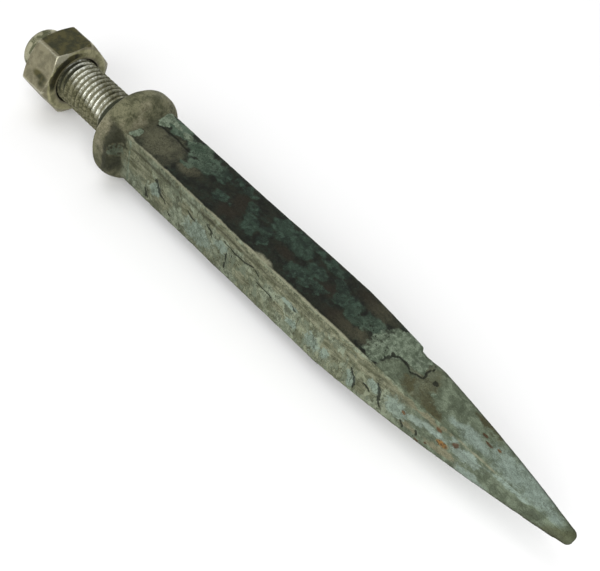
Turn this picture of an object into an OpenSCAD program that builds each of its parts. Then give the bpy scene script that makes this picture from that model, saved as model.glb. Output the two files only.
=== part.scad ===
// Forged square spike with a round collar, a threaded stud and a hex nut.
// The spike lies along X: the point is at +X, the stud's free end at -X.
// The origin is the centre of the collar's flat seat, on the stud's side.

/* [Shank] */
// Width across the flats of the square shank, mm
shank_w = 19; // [16:0.5:20]
// Distance from the collar's seat to the end of the point, mm
point_x = 187; // [160:1:220]
// Length of the tapered point, mm
taper_len = 87; // [60:1:100]
// Width of the blunt end of the point, mm
tip_w = 3; // [2:0.5:5]
// Angle at which each face turns in where the taper starts, degrees
taper_turn = 2.5; // [1:0.25:3]
// Flat worn onto each long edge, measured across the corner, mm
edge_wear = 0.7; // [0.3:0.1:1.5]

/* [Collar] */
// Diameter of the collar, mm
collar_d = 32; // [30:0.5:36]
// Thickness of the collar, mm
collar_t = 8.5; // [7.5:0.25:12]
// Rounding of the collar's rim, mm
rim_r = 3.5; // [2:0.25:3.75]
// Length of the blend from the collar to the shank, mm
blend_len = 3.5; // [2:0.25:6]

/* [Stud] */
// Major diameter of the thread, mm
stud_d = 16; // [15:0.5:16]
// Length of the stud from the collar's seat, mm
stud_len = 48; // [42:2:60]
// Plain neck between the collar's seat and the thread, mm
neck_len = 5.5; // [5:0.25:6]
// Fillet where the neck meets the seat, mm
neck_fillet = 0.8; // [0.4:0.1:1.2]
// Chamfer on the stud's free end, mm
stud_chamfer = 1.4; // [1:0.1:1.6]

/* [Nut] */
// Width of the nut across its flats, mm
nut_af = 24; // [23.5:0.25:27]
// Height of the nut, mm
nut_h = 13; // [12:0.25:14]
// Distance from the collar's seat to the nut's bearing face, mm
nut_gap = 27; // [25:0.5:29]
// Turn of the nut about the stud, degrees
nut_turn = 32.4; // [-60:0.1:60]
// Width of the round face left by the nut's chamfers, as a share of its flats
nut_face_ratio = 0.93; // [0.9:0.01:0.96]

/* [Part to draw] */
// Which sub-part to draw

/* [Hidden] */
spike_colour = [0.33, 0.36, 0.32];
nut_colour = [0.42, 0.41, 0.33];
round_steps = 96;       // facets of a full circle, for drawing only
arc_steps = 6;          // straight pieces in each rounded corner of the collar
taper_steps = 12;       // flat pieces along each face of the point
pitch = 2;              // travel of the nut in one turn
turn_steps = 32;        // straight pieces in one turn of the thread
flank = tan(30);        // axial width of a flank for each mm of depth
crest_half = 0.125;     // half the flat on the stud's crest
thread_depth = 1.25;    // radial depth of the stud's thread
play = 0.15;            // gap between flanks, square to them
crest_gap = 0.2;        // radial gap over the stud's crest
stud_r = stud_d / 2;
root_r = stud_r - thread_depth;
root_half = crest_half + thread_depth * flank;
// The nut's thread keeps the same centre line, wider by the play on both flanks.
bore_major_r = stud_r + crest_gap;
bore_minor_r = stud_r - 1;
play_half = play / cos(30);
bore_crest_half = crest_half - crest_gap * flank + play_half;
bore_root_half = crest_half + (stud_r - bore_minor_r) * flank + play_half;
sink_r = stud_r + 0.7;  // mouth of the countersink at each end of the nut
end_slice = 0.4;        // thickness of the nut's end face slice
nut_face_r = nut_af * nut_face_ratio / 2;
nut_out = nut_gap + nut_h;
first_ridge = 1 - stud_len;
stud_turns = floor((stud_len - neck_len - 1.8) / pitch);
// The nut's groove starts outside one end of the nut and stops outside the other.
nut_ridge = first_ridge + pitch * floor((-nut_out - first_ridge) / pitch);
nut_turns = ceil((-nut_gap - nut_ridge) / pitch);
sink_run = 3;           // distance that the countersinks' cutter runs past the nut
half_w = shank_w / 2;
half_tip = tip_w / 2;
taper_x = point_x - taper_len;
shank_start = collar_t / 2;
rim_in = collar_d / 2 - rim_r;

// Lays a shape built along Z on its side, so that Z becomes X.
module lay() {
    rotate([0, 90, 0])
        children();
}

// Half width of a face at u mm past the start of the taper: a straight turn-in
// plus a shallow arc, which together reach the blunt end.
function taper_sag() = half_w - half_tip - taper_len * tan(taper_turn);
function taper_half(u) =
    half_w - u * tan(taper_turn) - taper_sag() * pow(u / taper_len, 2);

// One side of the shank's outline, as [half width, distance] pairs.
function side_outline(scale_w, cut) = concat(
    [[half_w * scale_w - cut, shank_start]],
    [for (i = [0:taper_steps])
        let (u = (taper_len - half_tip) * i / taper_steps)
        [taper_half(u) * scale_w - cut * min(1, taper_half(u) / half_w + 0.2), taper_x + u]],
    [for (i = [1:3])
        let (a = 30 * i)
        [(half_tip * (0.35 + 0.65 * cos(a))) * scale_w - cut * 0.3,
         point_x - half_tip * (1 - sin(a))]]
);

module shank_slab(scale_w, cut) {
    side = side_outline(scale_w, cut);
    last = len(side) - 1;
    other = [for (i = [last:-1:0]) [-side[i][0], side[i][1]]];
    rotate([90, 0, 0])
        linear_extrude(height = 3 * shank_w, center = true)
            polygon(concat(side, other));
}

module shank() {
    intersection() {
        shank_slab(1, 0);
        rotate([0, 0, 90])
            shank_slab(1, 0);
        rotate([0, 0, 45])
            shank_slab(sqrt(2), edge_wear);
        rotate([0, 0, 135])
            shank_slab(sqrt(2), edge_wear);
    }
}

// Points of a circular arc, as [radius, distance] pairs.
function arc(cr, cz, r, a0, a1) =
    [for (i = [0:arc_steps])
        let (a = a0 + (a1 - a0) * i / arc_steps)
        [cr + r * cos(a), cz + r * sin(a)]];

module collar() {
    blend_r = rim_in + rim_r * cos(60);
    blend_z = collar_t - rim_r + rim_r * sin(60);
    end_z = collar_t + blend_len;
    rotate_extrude($fn = round_steps)
        polygon(concat(
            [[0, 0]],
            arc(rim_in, rim_r, rim_r, -90, 0),
            arc(rim_in, collar_t - rim_r, rim_r, 0, 60),
            [for (i = [1:arc_steps])
                let (s = i / arc_steps)
                [blend_r + (half_w - 0.4 - blend_r) * (1 - pow(1 - s, 2)),
                 blend_z + (end_z - blend_z) * pow(s, 2)]],
            [[0, end_z]]
        ));
}

module neck() {
    translate([0, 0, -neck_len])
        cylinder(h = neck_len + 1, r = stud_r, $fn = round_steps);
    rotate_extrude($fn = round_steps)
        polygon(concat(
            [[0, 1], [stud_r + neck_fillet, 1]],
            arc(stud_r + neck_fillet, -neck_fillet, neck_fillet, 90, 180),
            [[0, -neck_fillet]]
        ));
}

// A helical ridge on a core, between two flat ends, as one closed solid.
// first: centre of the ridge at angle 0; turns: whole turns of ridge.
// crest and root: [radius, half width]; lo and hi: [distance, radius] of the ends.
// fade: steps over which the ridge grows and shrinks; wide: 1 keeps the solid
// outside the end cones, for a cutter, and 0 keeps it inside them.
module helix(first, turns, crest, root, lo, hi, fade, wide) {
    per = 4;
    rows = turns * per + 2;
    total = turns * turn_steps;
    at = [-root[1], -crest[1], crest[1], root[1]];
    cone_lo = function (z) lo[1] + (wide ? lo[0] - z : z - lo[0]);
    cone_hi = function (z) hi[1] + (wide ? z - hi[0] : hi[0] - z);
    held = function (r, z)
        wide ? max(r, cone_lo(z), cone_hi(z)) : min(r, cone_lo(z), cone_hi(z));
    grown = function (m)
        min(1, (m + 1) / fade, (total - m) / fade);
    point = function (j, i)
        let (
            t = floor((i - 1) / per),
            k = (i - 1) % per,
            z = first + pitch * (t + j / turn_steps) + at[k],
            up = (k == 1 || k == 2) ? (crest[0] - root[0]) * grown(j + turn_steps * t) : 0,
            r = held(root[0] + up, z),
            a = 360 * j / turn_steps
        )
        [r * cos(a), r * sin(a), z];
    ring = function (end, j)
        let (a = 360 * j / turn_steps)
        [end[1] * cos(a), end[1] * sin(a), end[0]];
    points = [for (j = [0:turn_steps - 1], i = [0:rows - 1])
        i == 0 ? ring(lo, j) : i == rows - 1 ? ring(hi, j) : point(j, i)];
    id = function (j, i) j * rows + i;
    body = [for (j = [0:turn_steps - 2], i = [0:rows - 2])
        each [
            [id(j, i), id(j, i + 1), id(j + 1, i + 1)],
            [id(j, i), id(j + 1, i + 1), id(j + 1, i)]
        ]];
    e = turn_steps - 1;
    // The last column meets the first one a pitch further on.
    seam = [for (i = [1:rows - 2 - per])
        each [
            [id(e, i), id(e, i + 1), id(0, i + 1 + per)],
            [id(e, i), id(0, i + 1 + per), id(0, i + per)]
        ]];
    seam_lo = concat(
        [for (i = [0:per]) [id(e, 0), id(0, i + 1), id(0, i)]],
        [[id(e, 0), id(e, 1), id(0, per + 1)]]
    );
    seam_hi = [for (i = [rows - 1 - per:rows - 2]) [id(e, i), id(e, i + 1), id(0, rows - 1)]];
    floor_lo = [for (j = [1:turn_steps - 2]) [id(0, 0), id(j, 0), id(j + 1, 0)]];
    cap_hi = [for (j = [1:turn_steps - 2])
        [id(0, rows - 1), id(j + 1, rows - 1), id(j, rows - 1)]];
    polyhedron(
        points = points,
        faces = concat(body, seam, seam_lo, seam_hi, floor_lo, cap_hi),
        convexity = 20
    );
}

module stud_thread() {
    helix(
        first = first_ridge,
        turns = stud_turns,
        crest = [stud_r, crest_half],
        root = [root_r, root_half],
        lo = [-stud_len, stud_r - stud_chamfer],
        hi = [0.3 - neck_len, root_r],
        fade = turn_steps / 2,
        wide = 0
    );
}

module forged_spike() {
    color(spike_colour)
        lay() {
            shank();
            collar();
            neck();
            stud_thread();
        }
}

module chamfered_hex() {
    corner_r = nut_af / sqrt(3);
    drop = (corner_r + 1 - nut_face_r) * tan(30);
    rotate([0, 0, nut_turn])
        translate([0, 0, -nut_out])
            intersection() {
                cylinder(h = nut_h, r = corner_r, $fn = 6);
                rotate_extrude($fn = round_steps)
                    polygon([
                        [0, 0],
                        [nut_face_r, 0],
                        [corner_r + 1, drop],
                        [corner_r + 1, nut_h - drop],
                        [nut_face_r, nut_h],
                        [0, nut_h]
                    ]);
            }
}

module nut_bore() {
    helix(
        first = nut_ridge,
        turns = nut_turns,
        crest = [bore_major_r, bore_crest_half],
        root = [bore_minor_r, bore_root_half],
        lo = [-nut_out - sink_run, sink_r + sink_run],
        hi = [-nut_gap + sink_run, sink_r + sink_run],
        fade = 1,
        wide = 1
    );
}

module hex_nut() {
    color(nut_colour)
        lay()
            difference() {
                chamfered_hex();
                nut_bore();
                translate([0, 0, -nut_out - 1])
                    cylinder(h = 1 + end_slice, r = nut_af, $fn = round_steps);
            }
}

// The outermost slice of the nut, which has no corners and no thread.
module nut_end_face() {
    color(nut_colour)
        lay()
            translate([0, 0, -nut_out])
                rotate_extrude($fn = round_steps)
                    polygon([
                        [sink_r, 0],
                        [nut_face_r, 0],
                        [nut_face_r + end_slice / tan(30), end_slice],
                        [sink_r, end_slice]
                    ]);
}

forged_spike();
hex_nut();
nut_end_face();
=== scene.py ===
"""The looks of a forged ground spike with a threaded stud, and of the nut on it.

Everything is modelled in millimetres in the CAD frame, and scaled to metres as
the meshes are made. The spike lies along X with its point at +X. A ring's
angle a is measured so that y = r sin a and z = -r cos a: 0 is underneath,
90 is the +Y side, 180 is the top and 270 is the -Y side. The front is the -Y
side, which the photo shows together with the top.
"""

import math
from types import SimpleNamespace

import bpy
import numpy as np
from mathutils import Matrix, Vector


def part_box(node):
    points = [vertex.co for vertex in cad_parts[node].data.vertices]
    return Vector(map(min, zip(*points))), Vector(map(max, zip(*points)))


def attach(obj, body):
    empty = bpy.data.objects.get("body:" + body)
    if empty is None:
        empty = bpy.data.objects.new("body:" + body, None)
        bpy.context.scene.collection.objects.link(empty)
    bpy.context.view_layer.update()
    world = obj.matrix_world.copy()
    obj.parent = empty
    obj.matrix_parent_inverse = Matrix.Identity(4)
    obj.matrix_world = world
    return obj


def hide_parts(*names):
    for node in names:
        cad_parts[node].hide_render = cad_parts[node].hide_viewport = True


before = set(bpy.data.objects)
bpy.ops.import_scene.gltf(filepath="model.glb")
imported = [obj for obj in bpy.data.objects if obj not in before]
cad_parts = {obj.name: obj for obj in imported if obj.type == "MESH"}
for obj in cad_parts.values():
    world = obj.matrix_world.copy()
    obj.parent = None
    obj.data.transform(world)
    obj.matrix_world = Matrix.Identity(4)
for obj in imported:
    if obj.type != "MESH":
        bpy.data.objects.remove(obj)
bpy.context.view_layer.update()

MM = 0.001


def node_box(node):
    """A CAD node's lowest and highest corners, in millimetres."""
    low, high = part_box(node)
    return np.array(low) / MM, np.array(high) / MM


# ---------------------------------------------------------------- dimensions
spike_low, spike_high = node_box("forged_spike")
slice_low = node_box("nut_end_face")[0]
nut_high = node_box("hex_nut")[1]

STUD_END = spike_low[0]          # the stud's free end
TIP_X = spike_high[0]            # the end of the point
COLLAR_R = spike_high[2]         # the collar's rim
COLLAR_T = 8.5                   # the collar's thickness
RIM_R = 3.5                      # rounding of the collar's rim
STUD_R = COLLAR_R / 2            # the thread's crest
ROOT_R = STUD_R - 1.25           # the thread's root
NECK = 5.5                       # length of the plain neck
PITCH = 2.0
RIDGE_X = STUD_END + 1           # centre of the thread's first ridge at angle 0
HALF = 9.5                       # half the width of the square shank
FILLET = 0.5                     # softness of the corner between collar and shank
FLARE_END = 13.6                 # where the collar's hollow has run out
TAPER_LEN = 87.0
TAPER_X = TIP_X - TAPER_LEN
TIP_HALF = 1.5                   # half the width of the blunt end
TIP_ROUND = 2.0                  # length of the rounding at the blunt end
TAPER_TURN = math.tan(math.radians(2.5))
TAPER_SAG = HALF - TIP_HALF - TAPER_LEN * TAPER_TURN
RIDGE_ANGLE = 225                # the long edge between the top and the front
FAR_ANGLE = 135                  # the long edge between the top and the back

NUT_OUT = slice_low[0]           # the nut's outer face
NUT_SEAT = nut_high[0]           # its bearing face
NUT_MIDDLE = NUT_OUT + (NUT_SEAT - NUT_OUT) / 2
NUT_HALF = 6.5                   # half its thickness
NUT_FLAT = 12.0                  # half the width across its flats
NUT_TURN = 32.4                  # angle of its first corner
NUT_FACE_R = NUT_FLAT * 0.93     # round face left by its chamfers
CHAMFER = math.sqrt(3)           # how far a chamfer widens over each mm of depth
SINK_R = STUD_R + 0.7            # mouth of its countersinks

STUD_COLUMNS = 104
BAR_COLUMNS = 2 * STUD_COLUMNS
NUT_COLUMNS = 180
STUD_STEP = 0.21                 # distance between the stud's rings
FLARE_STEP = 0.26                # the same in the collar's hollow
BAR_STEP = 0.57                  # and along the bar


# --------------------------------------------------------------------- noise
def lattice(i, j, k, seed):
    """A repeatable scrambled number for each point of a lattice."""
    n = (i * 374761393 + j * 668265263 + k * 1440670441 + seed * 1274126177) & 0xFFFFFFFF
    n = ((n ^ (n >> 13)) * 1274126177) & 0xFFFFFFFF
    return n ^ (n >> 16)


def noise(p, size, seed):
    """Smooth noise from about -1 to 1, with features of that size."""
    q = p / size + 500.0
    base = np.floor(q).astype(np.int64)
    f = q - base
    fade = f * f * f * (f * (f * 6 - 15) + 10)
    total = np.zeros(len(p))
    for step in np.ndindex(2, 2, 2):
        corner = np.array(step)
        h = lattice(*(base + corner).T, seed)
        slope = np.stack([(h >> s & 1023) / 511.5 - 1 for s in (0, 10, 20)], 1)
        share = np.prod(np.where(corner == 1, fade, 1 - fade), 1)
        total += share * (slope * (f - corner)).sum(1)
    return total * 1.5


def fractal(p, size, octaves, seed):
    """Noise with finer and finer detail, about -1 to 1."""
    total = np.zeros(len(p))
    for k in range(octaves):
        total += noise(p, size / 2**k, seed + k) / 2**k
    return total / 1.4


def cells(p, size, seed):
    """Distance to the centre of the nearest of many scattered cells."""
    q = p / size + 500.0
    base = np.floor(q).astype(np.int64)
    near = np.full(len(p), 9.0)
    for step in np.ndindex(3, 3, 3):
        at = base + np.array(step) - 1
        h = lattice(*at.T, seed)
        centre = at + np.stack([(h >> s & 1023) / 1023 for s in (0, 10, 20)], 1)
        near = np.minimum(near, np.linalg.norm(q - centre, axis=1))
    return near


def smooth(x, low, high):
    """0 below low, 1 above high, and smooth between them."""
    t = np.clip((x - low) / (high - low), 0, 1)
    return t * t * (3 - 2 * t)


def bell(off, width, power=2):
    """1 where off is 0, falling away on both sides. A higher power has a flatter top."""
    return np.exp(-((off / width) ** power))


# ---------------------------------------------------------------- mesh tools
def around(columns):
    """Angles at even steps along the outline of a square, in radians."""
    t = np.arange(columns) * 4.0 / columns
    side = np.floor(t + 0.5)
    return (side + np.arctan(2 * (t - side)) / math.atan(1) * 0.5) * math.pi / 2


def ring(x, r, angles):
    """Points of one ring. x and r may differ from point to point."""
    r = np.broadcast_to(r, angles.shape)
    x = np.broadcast_to(x, angles.shape)
    return np.stack([x, r * np.sin(angles), -r * np.cos(angles)], 1)


def strip(first, second, n):
    """Quads between two rings of n points that start at those indices."""
    k = np.arange(n)
    m = (k + 1) % n
    return np.stack([first + k, first + m, second + m, second + k], 1).tolist()


def build(name, points, faces):
    """A mesh object with smooth faces that point outwards."""
    mesh = bpy.data.meshes.new(name)
    mesh.from_pydata((points * MM).tolist(), [], faces)
    mesh.update()
    mesh.calc_loop_triangles()
    corners = np.zeros(len(mesh.loop_triangles) * 3, np.int32)
    mesh.loop_triangles.foreach_get("vertices", corners)
    a, b, c = (points[corners.reshape(-1, 3)[:, i]] for i in range(3))
    if (a * np.cross(b, c)).sum() < 0:
        mesh.flip_normals()
    mesh.polygons.foreach_set("use_smooth", np.ones(len(mesh.polygons), bool))
    mesh.update()
    made = bpy.data.objects.new(name, mesh)
    bpy.context.scene.collection.objects.link(made)
    return made


def mesh_points(made):
    """A mesh's points, in millimetres."""
    co = np.zeros(len(made.data.vertices) * 3)
    made.data.vertices.foreach_get("co", co)
    return co.reshape(-1, 3) / MM


def mesh_normals(made):
    """The direction that the surface faces at each point."""
    n = np.zeros(len(made.data.vertices) * 3)
    made.data.vertices.foreach_get("normal", n)
    return n.reshape(-1, 3)


def push(made, depth):
    """Moves each point of a mesh along its normal, in millimetres."""
    moved = mesh_points(made) + mesh_normals(made) * depth[:, None]
    made.data.vertices.foreach_set("co", (moved * MM).ravel())
    made.data.update()


def paint(made, **masks):
    """Keeps each mask on the mesh, for its material to read."""
    for name, values in masks.items():
        attribute = made.data.attributes.new(name, "FLOAT", "POINT")
        attribute.data.foreach_set("value", np.clip(values, 0, 1).astype(np.float32))


# -------------------------------------------------------------- spike shape
def ridge_height(x, angle, crest, flank):
    """The thread's profile along its helix: 1 on the ridge and 0 beyond its flank."""
    turn = (x - RIDGE_X) / PITCH - angle / (2 * math.pi)
    off = np.abs(turn - np.round(turn)) * PITCH
    return np.clip(1 - (off - crest) / flank, 0, 1)


def taper(x):
    """Half the width of the square section."""
    u = np.clip(x - TAPER_X, 0, TAPER_LEN)
    return HALF - u * TAPER_TURN - TAPER_SAG * (u / TAPER_LEN) ** 2


def section(x, angles):
    """Radius of the square section at each angle, with worn corners."""
    ridge = bell(angles - math.radians(RIDGE_ANGLE), 0.5)
    power = 30 - ridge * (4 + 16 * smooth(x, 105, 150)) - 12 * smooth(x, 165, 187)
    power = np.maximum(power, 7)
    c, s = np.abs(np.cos(angles)), np.abs(np.sin(angles))
    return taper(x) / (c**power + s**power) ** (1 / power)


def collar_profile():
    """The collar's outline from the neck to where it meets the bar, as (x, radius)."""
    far_x, rim = COLLAR_T - RIM_R, COLLAR_R - RIM_R
    rows = [(-0.8, STUD_R - 0.1), (-0.45, STUD_R + 0.05), (-0.2, STUD_R + 0.3), (0, STUD_R + 0.7)]
    rows += [(0, r) for r in np.linspace(STUD_R + 1.2, rim - 0.5, 7)]
    for centre_x, turns in ((RIM_R, np.linspace(-90, 0, 11)), (far_x, np.linspace(0, 55, 9))):
        for a in np.radians(turns):
            rows.append((centre_x + RIM_R * math.sin(a), rim + RIM_R * math.cos(a)))
    return rows


def hollow(x, x0, r0, x1, r1):
    """Radius of the hollow that runs from the collar down to the bar."""
    t = np.clip((x - x0) / (x1 - x0), 0, 1)
    return r0 + (r1 - r0) * (1 - (1 - t) ** 2.2)


def knocked(r, angles):
    """The collar's radius where blows have flattened its rim."""
    soft = 0.12
    for facing, reach in ((270, 14.7), (322, 15.2), (98, 15.5)):
        toward = np.maximum(np.cos(angles - math.radians(facing)), 0.05)
        r = -soft * np.logaddexp(-r / soft, -reach / toward / soft)
    return r


def stud_rings(angles):
    """Rings of the threaded stud, from its free end to the neck."""
    rows = [
        ring(STUD_END - 0.02, 0.8, angles),
        ring(STUD_END, 3.0, angles),
        ring(STUD_END + 0.1, 5.0, angles),
    ]
    filled = bell(np.degrees(angles) - 268, 38, 4)  # grime fills the front's grooves
    for x in np.arange(STUD_END + 0.25, -NECK + 0.6, STUD_STEP):
        end = 1 - np.clip((x - STUD_END) / 3.0, 0, 1)
        envelope = STUD_R - 2.0 * end**2.6
        fade = smooth(-x, NECK - 0.2, NECK + 1.2)
        depth = (STUD_R - ROOT_R) * (1 - 0.8 * smooth(-x, 42.0, 45.5)) * (1 - 0.5 * filled)
        height = ridge_height(x, angles, 0.14 + 0.1 * smooth(-x, 40, 47), 0.72)
        rows.append(ring(x, np.minimum(envelope, STUD_R - depth * (1 - height) * fade), angles))
    for x in np.linspace(-NECK + 0.9, -1.1, 9):
        rows.append(ring(x, STUD_R - 0.1, angles))
    return rows


def bar_rings(angles):
    """Rings of the collar, the shank and the point."""
    outline = collar_profile()
    rows = [ring(x, knocked(r, angles), angles) for x, r in outline]
    x0, r0 = outline[-1]
    hollow_end = 12.4
    lean = 0.9 * np.sin(angles + 0.4)  # the hollow ends unevenly
    in_flare = np.arange(x0 + 0.22, FLARE_END, FLARE_STEP)
    along_bar = np.arange(FLARE_END, TIP_X - 2.2, BAR_STEP)
    for x in np.concatenate([in_flare, along_bar]):
        bar = section(x, angles)
        blend = hollow(x, x0, r0, hollow_end + lean, HALF - 0.9)
        blend = blend - 20 * smooth(x, hollow_end, 20)
        r = FILLET * np.logaddexp(bar / FILLET, blend / FILLET)
        rows.append(ring(x, knocked(r, angles) if x < 13 else r, angles))
    last = section(TIP_X - TIP_ROUND, angles)
    for t in np.linspace(0.1, 1, 9):
        x = TIP_X - TIP_ROUND * (1 - math.sin(t * math.pi / 2))
        rows.append(ring(x, last * (0.12 + 0.88 * math.cos(t * 1.45)), angles))
    return rows


def spike_mesh():
    """The forging as one closed mesh. The bar's rings have twice the stud's columns."""
    stud = stud_rings(around(STUD_COLUMNS))
    bar = bar_rings(around(BAR_COLUMNS))
    centres = np.array([[STUD_END - 0.02, 0, 0], [TIP_X, 0, 0]])
    points = np.concatenate(stud + bar + [centres])
    near, far = len(points) - 2, len(points) - 1
    stud_last = (len(stud) - 1) * STUD_COLUMNS
    bar_first = len(stud) * STUD_COLUMNS
    bar_last = bar_first + (len(bar) - 1) * BAR_COLUMNS

    faces = []
    for i in range(len(stud) - 1):
        faces += strip(i * STUD_COLUMNS, (i + 1) * STUD_COLUMNS, STUD_COLUMNS)
    for k in range(STUD_COLUMNS):
        here, following = stud_last + k, stud_last + (k + 1) % STUD_COLUMNS
        left = bar_first + 2 * k
        right = bar_first + (2 * k + 2) % BAR_COLUMNS
        faces += [[here, left + 1, left], [here, following, left + 1], [following, right, left + 1]]
    for i in range(len(bar) - 1):
        faces += strip(bar_first + i * BAR_COLUMNS, bar_first + (i + 1) * BAR_COLUMNS, BAR_COLUMNS)
    faces += [[near, (k + 1) % STUD_COLUMNS, k] for k in range(STUD_COLUMNS)]
    faces += [[far, bar_last + k, bar_last + (k + 1) % BAR_COLUMNS] for k in range(BAR_COLUMNS)]
    return build("forged_spike_skin", points, faces)


# --------------------------------------------- what is where on the surface
# Patches as (x, across, half length, half width). Across is y on the top and
# z on the front.
TOP_TEAL = [
    (18, 6.5, 7, 2.6), (29, 5.5, 6, 3.4), (38, 4.5, 7, 3.6), (33, 0.5, 4, 1.6),
    (31, -1.5, 2.5, 1.2), (47, -2.5, 3, 2.2), (56.5, 2.5, 2.4, 2.6), (59.5, -0.8, 3.2, 2),
    (61.5, -3.6, 2.8, 2.4), (63.5, -5.6, 1.8, 1.4), (68, 5, 4, 3.6), (73, 4.5, 5, 3.6),
    (78, 3.6, 3.4, 2.6), (66, -0.6, 2.4, 2.6), (68, -4, 1.6, 2.4), (84, -3.4, 5, 3.2),
    (86, 1, 3.4, 2.2), (88, 6.6, 5, 2), (79, 7.4, 4, 1.2), (99, 0.5, 5.5, 3),
    (104, -1.5, 4.5, 2.6), (46, 6.5, 2.5, 1.2), (94, 3, 3, 2), (91, -3, 3, 1.6),
    (51, 6.5, 3, 1.8), (109, 1, 4, 3),
]
TOP_BROWN = [
    (19, -3.2, 8.5, 5.4), (33, -3.2, 4, 2.4), (53, 1, 4, 3), (53, -4, 4, 3.2), (75, -2, 3.5, 1.6),
    (105, 6.4, 7, 2.6), (103, -6.5, 6, 2.2), (93, -1, 2.4, 3), (131.5, 0.5, 3.4, 4.6),
    (133.5, -4.2, 4.6, 2.6), (109, -5, 3, 2.4), (151, 5, 4, 1), (130, -3.6, 3.4, 2.8),
    (138, -5.2, 4, 1.6),
]
TOP_PALE = [
    (10.8, 6, 1.6, 2.6), (12.5, 3.8, 1.5, 1.4), (11.7, -6.2, 1.5, 2.4), (15, 6.4, 3, 1.2),
    (22, 6.5, 2, 1.3), (118, 3.6, 6, 4.6), (125, 3.2, 4.6, 3.4), (115.5, -1, 5, 3),
    (116, -5.4, 4.5, 3.2), (118, 0, 4, 3), (136.2, -1.2, 0.8, 0.9), (121, 7.2, 4.5, 2.2),
]
FRONT_TAN = [
    (16.5, 2.5, 6, 6), (42, 1.8, 4, 2.6), (30, -2.5, 3.4, 4.6), (60, 6, 9, 1.8),
    (75, 5.6, 12, 1.8), (92, 5.2, 10, 1.9), (106, 0.5, 6, 3.2), (118, 4.5, 12, 2.2),
    (84, -2.5, 4, 1.7), (117, -3.5, 2, 2.6), (134, -3.4, 2.4, 1.4), (138, 5.4, 8, 0.9),
    (68, -4, 3.5, 1.3), (146, -3, 5, 1.6), (24, 2, 2, 3),
]
FRONT_BLUE = [
    (113.5, -4, 1.2, 3.4), (129.5, -0.5, 3.4, 3.6), (140, 2.5, 2.6, 1.2), (152, 2, 5, 2.4),
    (155, -4, 5, 2), (87, 3.2, 3, 1.2), (26.5, -1, 1.8, 3.4), (47, -3, 6, 4), (98, -3, 3, 2.6),
    (58, 0.5, 4, 2.2), (89.5, -3, 2, 1.8), (103, -3.5, 1.6, 3), (121, 0.5, 2.4, 2.4),
    (136, 0.5, 2, 1.8),
]
TOP_WHITE = [
    (164, 0, 7, 3.4), (171, 3.4, 8, 1.8), (152, -2.2, 5, 1.8), (172, 0.5, 7, 3),
    (146, -2.4, 3, 1.2), (180, 0, 3, 1.8),
]
FRONT_WHITE = [
    (148.5, 4.6, 1.2, 0.9), (154, 3, 3, 0.9), (168, 3.8, 7, 0.7), (143, 2.4, 2, 1.2),
    (129, 1, 1.6, 2.2),
]
HOLLOW_SCALE = [(9.6, 51.6, 1.9, 2.4), (11.6, 48.4, 0.7, 1.4)]  # across is angle / 5
FRONT_PITTED = [(62.5, -0.6, 4.2, 2.2), (110.5, 2.6, 2.6, 1), (88.5, 2.6, 2, 1)]
TOP_PITTED = [(108, -1.4, 5.5, 2.2), (117, -2.8, 3, 1.8)]
TOP_HOLES = [(133.2, 1.9, 0.9, 1), (119.5, -1.4, 0.8, 0.7)]
FRONT_HOLES = [(26.3, 2.2, 0.8, 0.8), (33.8, -6.4, 0.6, 0.5), (23, -7, 0.8, 0.5), (89, 2.4, 0.7, 0.6)]
LOWER_PATCH = [(125, -7, 6.2, 6.6)]  # stands lower than the flake beside it
WORN_PATCH = [(73.5, -8.8, 4.5, 1.5)]  # widens the worn edge onto the top
NUT_SMUDGES = [(-31.5, 3.4, 3.2, 1.1), (-30.2, 1.6, 1.8, 1.3)]
# Rust spots as (x, across, half length, half width, orange from 0 to 1).
FRONT_RUST = [
    (145.5, 0.1, 1.9, 1.2, 1), (149, 3.5, 0.8, 1.2, 0.15), (143, 4.2, 1.2, 0.8, 0.25),
    (132, 0.1, 0.7, 0.9, 0.4), (138.5, -6, 0.9, 0.6, 0.1), (141.3, -4.4, 0.6, 0.4, 0.1),
]
TOP_RUST = [(152.5, 1.6, 0.9, 0.5, 0.1), (155, 0.6, 1.4, 0.4, 0.1), (158, 1.4, 0.7, 0.5, 0.4)]
# Cracks as (half width, points), each point as (x, across).
FRONT_CRACKS = [
    (0.36, [(26.6, 3), (27.2, 1), (28.4, -0.8), (29.8, -2.2), (31.3, -3.6)]),
    (0.22, [(21.8, -4.4), (22.4, -6), (22, -7.6)]),
    (0.24, [(41.5, 2.4), (43.4, 1), (45, 1.1)]),
    (0.16, [(33, -5.6), (33.8, -6.6)]),
    (0.07, [(58.5, 3.6), (63, 2.6), (67.5, 2.8), (71.5, 4.2), (73.6, 2.2)]),
    (0.07, [(59.6, -0.2), (60.2, -3.6), (59.8, -6.6)]),
    (0.07, [(73.5, -0.4), (77, -0.6), (80, -0.9)]),
    (0.16, [(50, 4), (52.5, 2.4), (52.8, 0.8)]),
    (0.14, [(112.8, 0.6), (113.8, -1.2), (115, -3.4), (115.2, -6.4)]),
    (0.18, [(117.8, -1.2), (119, -1.9), (120.2, -2.6)]),
    (0.14, [(121.8, 2.8), (122.8, 1.2), (123.3, -1.6), (124, -4.2), (125.4, -5.8)]),
    (0.10, [(132.4, -3.6), (133.4, -5.8)]),
    (0.10, [(137.5, -1.5), (137.9, -4), (137.2, -6)]),
]
TOP_CRACKS = [
    (0.12, [(12, 1.4), (13.6, 2.4), (17, 2.6), (20.4, 2.8), (24, 2.4), (27, 2.2)]),
    (0.08, [(118.6, -6.8), (119, -4.2), (119.6, -2.2), (121, -0.6), (123, -0.2),
            (124.8, -0.8), (126.2, -1.4)]),
    (0.07, [(126.2, -1.4), (127.8, -0.6), (129.6, -0.2), (129.9, 1.4), (129.2, 3),
            (129.7, 5), (129.6, 6.6)]),
]


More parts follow.
